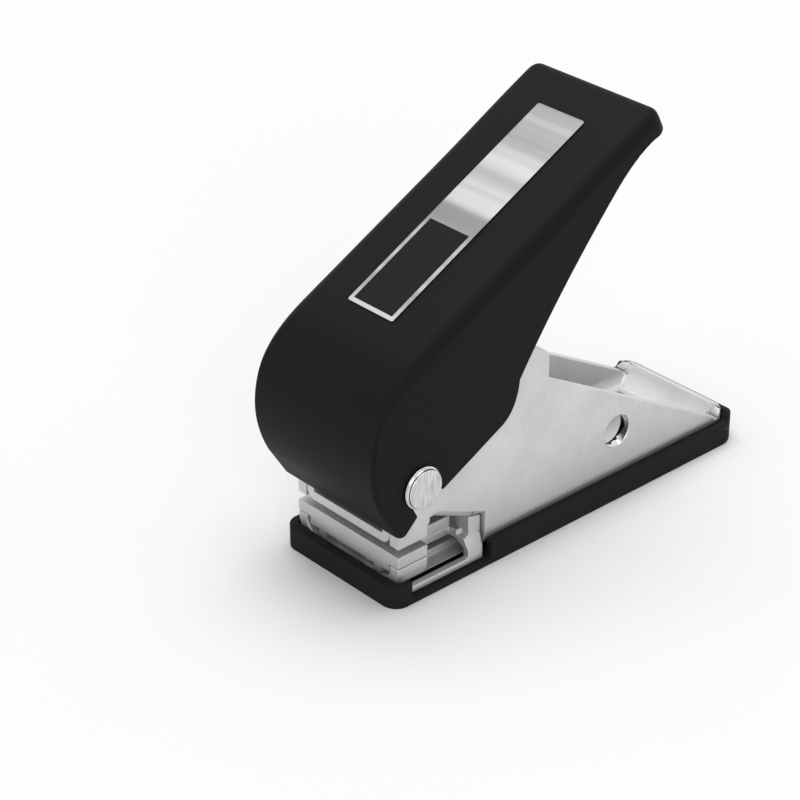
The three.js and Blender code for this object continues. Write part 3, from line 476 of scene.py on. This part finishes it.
# Brushed steel: straight strokes across the face, drawn about 0.1 mm apart so that they show,
# which spread the light into fine dark and bright lines.
brushing_turn = math.radians(62)
brushing_per_metre, brushing_depth = (900, 9000, 500), 0.00001
brushed_dark, brushed_pale = "#b4b4b3", "#e4e4e3"
brushed, tree, shader = new_material("brushed_pin_face", "#cfcfce", 0.34, metallic=1.0)
coords = add_node(tree, "ShaderNodeTexCoord")
across_face = add_node(tree, "ShaderNodeMapping", {
    "Vector": (coords, "Object"), "Rotation": (brushing_turn, 0, 0), "Scale": brushing_per_metre,
})
strokes = add_node(tree, "ShaderNodeTexNoise", {"Vector": (across_face, 0), "Scale": 1, "Detail": 3})
shade = add_node(tree, "ShaderNodeMapRange", {
    "Value": (strokes, "Fac"), "From Min": 0.36, "From Max": 0.64,
})
shade = add_node(tree, "ShaderNodeMix", {
    0: (shade, 0), 6: linear(brushed_dark), 7: linear(brushed_pale),
}, data_type="RGBA")
bump = add_node(tree, "ShaderNodeBump", {
    "Height": (strokes, "Fac"), "Strength": 0.5, "Distance": brushing_depth,
})
feed(tree, shader, {"Base Color": (shade, 2), "Normal": (bump, "Normal")})


def turned(name, profile, hand):
    """A piece spun about the pivot from points of (place along it, radius), drawn to the right."""
    form = bmesh.new()
    points = [form.verts.new((hand * x, pivot.y, pivot.z + radius)) for x, radius in profile]
    lines = [form.edges.new(pair) for pair in zip(points, points[1:])]
    bmesh.ops.spin(form, geom=points + lines, cent=(0, pivot.y, pivot.z), axis=(1, 0, 0),
                   angle=math.tau, steps=turned_steps, use_merge=True)
    bmesh.ops.remove_doubles(form, verts=form.verts, dist=same_point)
    bmesh.ops.recalc_face_normals(form, faces=form.faces)
    piece = piece_from(form, name, polished, brushed)
    for face in piece.data.polygons:
        if abs(face.normal.x) > face_lean:
            face.material_index = 1
    piece.modifiers.new("normals", "WEIGHTED_NORMAL")
    return piece


def head_profile(seat, crown):
    """A head's profile from the edge of its seat, over its flange and its disc, to its middle."""
    turns = [math.pi / 2 * i / bend_steps for i in range(bend_steps + 1)]
    foot = seat + flange_thickness
    flange = [(foot - flange_edge + flange_edge * math.sin(t),
               head_radius - flange_edge + flange_edge * math.cos(t)) for t in turns]
    disc = [(crown - disc_edge + disc_edge * math.sin(t),
             disc_radius - disc_edge + disc_edge * math.cos(t)) for t in turns]
    return ([(seat, head_radius - flange_edge), (seat + flange_edge / 2, head_radius)] + flange
            + [(foot, disc_radius)] + disc + [(crown, disc_radius * face_ring), (crown, 0)])


seat, crown = pin_high.x - head_thickness, pin_high.x
pin = turned("pivot_pin_turned", [(pin_low.x, 0), (pin_low.x, shank_radius), (seat, shank_radius)]
             + head_profile(seat, crown), 1)
fix(pin, "base", "bright_steel", "pivot_pin")
seat, crown = -cap_high.x, -cap_low.x
cap = turned("pivot_cap_turned", [(seat, 0)] + head_profile(seat, crown), -1)
fix(cap, "base", "bright_steel", "pivot_cap")

# Return spring: steel wire of 0.7 mm, wound round the guide bush with its end curls closed. The
# wire is hard-drawn, which leaves it smooth and bright. It stands between the bracket and the
# punch's head; in the tool it shortens as the punch goes down, and here it is wound at one length.
spring_low, spring_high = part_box("return_spring")
spring_centre = (spring_low + spring_high) / 2
wire_radius = 0.00035
curl_radius = (spring_high.x - spring_low.x) / 2 - wire_radius
climb = spring_high.z - spring_low.z - 2 * wire_radius
closed, active = 0.9, 3.2
closed_pitch = 0.95
end_climb = wire_radius * 2 * closed_pitch
wire_sides, curl_steps = 12, 32
drawn = new_material("drawn_spring_wire", "#a9abad", 0.3, metallic=1.0)[0]
form = bmesh.new()
bmesh.ops.create_circle(
    form, segments=wire_sides, radius=wire_radius,
    matrix=Matrix.Translation((spring_centre.x + curl_radius, spring_centre.y,
                               spring_low.z + wire_radius)) @ Matrix.Rotation(math.pi / 2, 4, "X"))
section = list(form.edges) + list(form.verts)
for turns, rise in ((closed, end_climb), (active, climb - 2 * end_climb), (closed, end_climb)):
    count = round(turns * curl_steps)
    spun = bmesh.ops.spin(
        form, geom=section, cent=spring_centre, axis=(0, 0, 1), dvec=(0, 0, rise / count),
        angle=turns * math.tau, steps=count)
    section = spun["geom_last"]
bmesh.ops.holes_fill(form, edges=form.edges)
bmesh.ops.remove_doubles(form, verts=form.verts, dist=same_point)
bmesh.ops.recalc_face_normals(form, faces=form.faces)
spring = piece_from(form, "spring_wound", drawn)
fix(spring, "base", "spring_wire", "return_spring")
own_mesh(spring)

# Cover: a moulded shell of black ABS, open below round the lever, with ribs and two bosses for
# its screws inside. Its rounding is full along the top and fades to almost nothing round the
# nose. Places on it run along the handle and up, from the pivot.
handle_tilt = math.radians(27.3)
on_handle = Matrix.Translation(pivot) @ Matrix.Rotation(handle_tilt, 4, "X")
cover_half = (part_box("handle_cover")[1].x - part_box("handle_cover")[0].x) / 2
front, skirt, top, rear = -0.00573, -0.0031, 0.0144, 0.04767
nose_radius, notch_radius = 0.0133, 0.0021
side_wall, crown_wall = 0.0012, 0.0016
rim_width, rim_turn = 0.0002, math.radians(50)

# Ribs and bosses stand at shares of the cover's length, and each rib reaches down to a share of
# its depth. They are let into the walls a little, so that no gap is left.
rib_thickness, rib_places = 0.001, ((0.74, 0.681), (0.86, 0.83))
boss_width, boss_height, boss_places = 0.005, 0.0027, (0.36, 0.58)
boss_sides, let_in = 32, 0.0001

# The nose's lower edge hangs a little below the skirt and is tucked in. The tip stands a little
# past the rear, from which the lower edge's shares are taken, and its lip ends at a share of the
# depth.
nose_skirt, nose_tuck = -0.0038, 0.0004
tip, lip_share = 0.04812, 0.815

# Roundings along the crown, the share of the nose's turn at which each begins to fade, and the
# length before the tip at which the flat top ends.
top_rounding, brow_rounding, nose_rounding, rear_rounding = 0.002, 0.0004, 0.0008, 0.0016
rear_crease, least_rounding = 0.0012, 0.0003
brow_share, chin_share = 0.5, 0.35
tip_run = 0.004
skirt_steps, nose_steps, top_steps, fade_step = 5, 36, 16, 10
rim_steps, notch_steps = 8, 20

# The lower edge behind the notch is three parabolas, each with its control point, its end and its
# steps, in shares of the cover's length and depth.
lower_start = (0.338, 0)
lower_curves = (
    ((0.385, 0), (0.426, 0.183), 8),
    ((0.594, 0.48), (0.828, 0.749), 12),
    ((0.903, 0.834), (0.96, 0.824), 5),
)

# Moulded ABS: the spark-eroded mould leaves a fine even grain, drawn a little coarse, which makes
# the black dull with hardly a glint.
abs_grain_per_metre, abs_grain_depth = 7000, 0.00002
abs_plastic, tree, shader = new_material("moulded_abs", "#121211", 0.55)
coords = add_node(tree, "ShaderNodeTexCoord")
grain = add_node(tree, "ShaderNodeTexNoise", {
    "Vector": (coords, "Object"), "Scale": abs_grain_per_metre, "Detail": 3,
})
bump = add_node(tree, "ShaderNodeBump", {
    "Height": (grain, "Fac"), "Strength": 0.2, "Distance": abs_grain_depth,
})
feed(tree, shader, {"Normal": (bump, "Normal"), "Specular IOR Level": 0.1})


def eased(share):
    """A share from 0 to 1 that starts and ends gently."""
    share = min(max(share, 0), 1)
    return share * share * (3 - 2 * share)


def at(along_share, depth_share):
    """A point of the side outline, from shares of the cover's length and depth."""
    return (front + along_share * (rear - front), skirt + depth_share * (top - skirt))


def sweep(start, control, end, steps):
    """Points along a parabola from start to end, without its first."""
    shares = [i / steps for i in range(1, steps + 1)]
    return [tuple((1 - s) ** 2 * a + 2 * s * (1 - s) * c + s * s * e
                  for a, c, e in zip(start, control, end)) for s in shares]


def crown_line(inset):
    """The crown from the front skirt to the tip: place, way inward and rounding of each station."""
    nose = nose_radius - inset
    centre = (front + nose_radius, top - nose_radius)
    line = []
    for i in range(skirt_steps):
        share = i / skirt_steps
        line.append(((front + inset + nose_tuck * (1 - share),
                      nose_skirt + (centre[1] - nose_skirt) * share), (1, 0), nose_rounding))
    for i in range(nose_steps + 1):
        share = i / nose_steps
        turn = math.pi * (1 - share / 2)
        way = (math.cos(turn), math.sin(turn))
        above_brow = eased((share - brow_share) / (1 - brow_share))
        below_chin = eased((chin_share - share) / chin_share)
        size = (brow_rounding + (top_rounding - brow_rounding) * above_brow
                + (nose_rounding - brow_rounding) * below_chin)
        line.append(((centre[0] + nose * way[0], centre[1] + nose * way[1]), (-way[0], -way[1]), size))
    run = tip - tip_run - centre[0]
    for i in range(1, top_steps + 1):
        fade = eased((i - fade_step) / (top_steps - fade_step))
        size = top_rounding + (rear_rounding - top_rounding) * fade
        line.append(((centre[0] + run * i / top_steps, top - inset), (0, -1), size))
    crease = max(rear_crease - inset, least_rounding)
    corner = (tip - inset - crease, top - inset - crease)
    for i in range(bend_steps + 1):
        turn = math.pi / 2 * (1 - i / bend_steps)
        line.append(((corner[0] + crease * math.cos(turn), corner[1] + crease * math.sin(turn)),
                     (-1, -1), rear_rounding))
    line.append(((tip - inset, at(1, lip_share)[1]), (-1, 0), rear_rounding))
    return line


def skin(form, side_inset, crown_inset):
    """One skin of the shell: rows of points over the crown, and the lower edge of each side.

    It returns the skin's open rims: front, rear, and the lower edge of each side."""
    half = cover_half - side_inset
    rows = []
    for (y, z), (way_y, way_z), size in crown_line(crown_inset):
        size = max(size - side_inset, least_rounding)
        row = []
        for hand, turns in ((-1, range(rim_steps, -1, -1)), (1, range(rim_steps + 1))):
            for i in turns:
                turn = math.pi / 2 * i / rim_steps
                drop = size * (1 - math.cos(turn))
                row.append(form.verts.new((
                    hand * (half - size + size * math.sin(turn)), y + way_y * drop, z + way_z * drop)))
        rows.append(row)
    low = [at(*lower_start)]
    for control, end, steps in lower_curves:
        low += sweep(low[-1], at(*control), at(*end), steps)
    turns = [math.pi * (1 - i / notch_steps) for i in range(notch_steps + 1)]
    notch = [(notch_radius * math.cos(t), notch_radius * math.sin(t)) for t in turns]
    edge = [(-notch_radius, skirt)] + notch + [(notch_radius, skirt)] + low
    lows = [[form.verts.new((hand * half, y, z)) for y, z in edge] for hand in (-1, 1)]
    for row, following in zip(rows, rows[1:]):
        for i in range(len(row) - 1):
            form.faces.new((row[i], row[i + 1], following[i + 1], following[i]))
    for low_edge, end in zip(lows, (0, -1)):
        form.faces.new([row[end] for row in rows] + low_edge[::-1])
    rims = [rows[0], rows[-1]]
    rims += [[rows[0][end]] + low_edge + [rows[-1][end]] for low_edge, end in zip(lows, (0, -1))]
    return rims


form = bmesh.new()
outer, inner = skin(form, 0, 0), skin(form, side_wall, crown_wall)
for outside, inside in zip(outer, inner):
    for i in range(len(outside) - 1):
        form.faces.new((outside[i], outside[i + 1], inside[i + 1], inside[i]))
bmesh.ops.recalc_face_normals(form, faces=form.faces)
room = cover_half - side_wall
ceiling = top - crown_wall
for along_share, low_share in rib_places:
    y, low = at(along_share, low_share)
    rib = Matrix.Diagonal(((room + let_in) * 2, rib_thickness, ceiling - low + let_in * 2, 1))
    bmesh.ops.create_cube(form, size=1, matrix=Matrix.Translation((0, y, (low + ceiling) / 2)) @ rib)
for along_share in boss_places:
    middle = (0, at(along_share, 0)[0], ceiling - boss_height / 2 + let_in)
    bmesh.ops.create_cone(
        form, cap_ends=True, segments=boss_sides, radius1=boss_width / 2, radius2=boss_width / 2,
        depth=boss_height + let_in * 2, matrix=Matrix.Translation(middle))
bmesh.ops.transform(form, matrix=on_handle, verts=form.verts)
cover = piece_from(form, "cover_moulding", abs_plastic)
rims = cover.modifiers.new("rims", "BEVEL")
rims.limit_method = "ANGLE"
rims.angle_limit = rim_turn
rims.width = rim_width
rims.segments = edge_segments
rims.use_clamp_overlap = False
cover.modifiers.new("normals", "WEIGHTED_NORMAL")
fix(cover, "handle", "handle_plastic", "handle_cover")

# Cover screws: two self-tapping steel screws, as bright as the small turned parts. They go up
# through the lever's web into the bosses, and each head has a cross recess that narrows inwards.
lever_web, tip_gap = 0.0013, 0.0008
screw_radius, screw_head_radius, screw_head_thickness = 0.0011, 0.0021, 0.0011
head_chamfer, chamfer_height = 0.0003, 0.00045
point_length, point_share = 0.0006, 0.4
recess_reach, recess_half, recess_depth, recess_share = 0.0011, 0.00028, 0.0007, 0.6
screw_edge = 0.00004
head_seat = ceiling - boss_height - lever_web
screw_tip = ceiling - tip_gap
low = head_seat - screw_head_thickness
a, b = recess_half, recess_reach
cross = [(b, -a), (b, a), (a, a), (a, b), (-a, b), (-a, a),
         (-b, a), (-b, -a), (-a, -a), (-a, -b), (a, -b), (a, -a)]
turns = [math.atan2(y, x) for x, y in cross]
profile = (
    (screw_head_radius - head_chamfer, low), (screw_head_radius, low + chamfer_height),
    (screw_head_radius, head_seat), (screw_radius, head_seat),
    (screw_radius, screw_tip - point_length), (screw_radius * point_share, screw_tip),
)
for node, along_share in zip(("cover_screw_front", "cover_screw_rear"), boss_places):
    form = bmesh.new()
    loops = [
        [form.verts.new((x * recess_share, y * recess_share, low + recess_depth)) for x, y in cross],
        [form.verts.new((x, y, low)) for x, y in cross],
    ]
    for radius, z in profile:
        loops.append([form.verts.new((radius * math.cos(t), radius * math.sin(t), z)) for t in turns])
    for inside, outside in zip(loops, loops[1:]):
        for i in range(len(cross)):
            j = (i + 1) % len(cross)
            form.faces.new((inside[i], inside[j], outside[j], outside[i]))
    form.faces.new(loops[0])
    form.faces.new(loops[-1])
    bmesh.ops.recalc_face_normals(form, faces=form.faces)
    bmesh.ops.transform(form, matrix=on_handle @ Matrix.Translation((0, at(along_share, 0)[0], 0)),
                        verts=form.verts)
    screw = piece_from(form, node + "_driven", bright)
    rounding = screw.modifiers.new("edges", "BEVEL")
    rounding.width = screw_edge
    rounding.segments = edge_segments
    rounding.use_clamp_overlap = False
    screw.modifiers.new("normals", "WEIGHTED_NORMAL")
    fix(screw, "handle", "bright_steel", node)

# Label: a bare panel of silver foil stuck on the cover's top, brushed lengthwise, with a black
# field printed inside its front half. No lettering: only soft bands of painted sheen, lighter and
# darker along its length as the foil would catch the light, and strokes drawn about 0.1 mm apart.
label_half_width, label_half_length = 0.0037, 0.01645
label_shift, label_start = -0.00025, 0.0095
label_middle = on_handle @ Vector((label_shift, label_start + label_half_length, top))
border, field_end = 0.00055, -0.18
foil_edge = 0.00004
sheen_bands_per_metre = 210
foil_strokes_per_metre, foil_stroke_depth = (12000, 500, 1), 0.00001
foil_sheen_dark, foil_sheen_bright, print_black = "#868686", "#bdbdbd", "#161616"
foil, tree, shader = new_material("brushed_silver_foil", foil_sheen_bright, 0.42, metallic=1.0)
coords = add_node(tree, "ShaderNodeTexCoord")
on_label = add_node(tree, "ShaderNodeMapping", {
    "Vector": (coords, "Object"), "Location": tuple(label_middle), "Rotation": (handle_tilt, 0, 0),
}, vector_type="TEXTURE")
place = add_node(tree, "ShaderNodeSeparateXYZ", {0: (on_label, 0)})
# Painted sheen: bands along the label lighten and darken the foil's colour.
sheen_bands = add_node(tree, "ShaderNodeTexNoise", {"W": (place, "Y"), "Scale": sheen_bands_per_metre, "Detail": 2},
                 noise_dimensions="1D")
sheen_band = add_node(tree, "ShaderNodeMapRange", {
    "Value": (sheen_bands, "Fac"), "From Min": 0.32, "From Max": 0.68,
}, interpolation_type="SMOOTHSTEP")
sheen_silver = add_node(tree, "ShaderNodeMix", {
    0: (sheen_band, 0), 6: linear(foil_sheen_dark), 7: linear(foil_sheen_bright),
}, data_type="RGBA")
from_side = add_node(tree, "ShaderNodeMath", {0: (place, "X")}, operation="ABSOLUTE")
in_width = add_node(tree, "ShaderNodeMath", {
    0: (from_side, 0), 1: label_half_width - border,
}, operation="LESS_THAN")
past_end = add_node(tree, "ShaderNodeMath", {
    0: (place, "Y"), 1: border - label_half_length,
}, operation="GREATER_THAN")
before_panel = add_node(tree, "ShaderNodeMath", {
    0: (place, "Y"), 1: field_end * label_half_length,
}, operation="LESS_THAN")
field = add_node(tree, "ShaderNodeMath", {0: (in_width, 0), 1: (past_end, 0)}, operation="MULTIPLY")
field = add_node(tree, "ShaderNodeMath", {0: (field, 0), 1: (before_panel, 0)}, operation="MULTIPLY")
print_on_sheen = add_node(tree, "ShaderNodeMix", {
    0: (field, 0), 6: (sheen_silver, 2), 7: linear(print_black),
}, data_type="RGBA")
bare = add_node(tree, "ShaderNodeMath", {0: 1.0, 1: (field, 0)}, operation="SUBTRACT")
along_foil = add_node(tree, "ShaderNodeMapping", {
    "Vector": (on_label, 0), "Scale": foil_strokes_per_metre,
})
strokes = add_node(tree, "ShaderNodeTexNoise", {"Vector": (along_foil, 0), "Scale": 1, "Detail": 3})
bump = add_node(tree, "ShaderNodeBump", {
    "Height": (strokes, "Fac"), "Strength": 0.25, "Distance": foil_stroke_depth,
})
feed(tree, shader, {
    "Base Color": (print_on_sheen, 2), "Metallic": (bare, 0), "Specular IOR Level": 0.1,
    "Normal": (bump, "Normal"),
})
label = softened("foil_label", "label_foil", foil_edge, foil)
fix(label, "handle", "silver_foil", "foil_label")
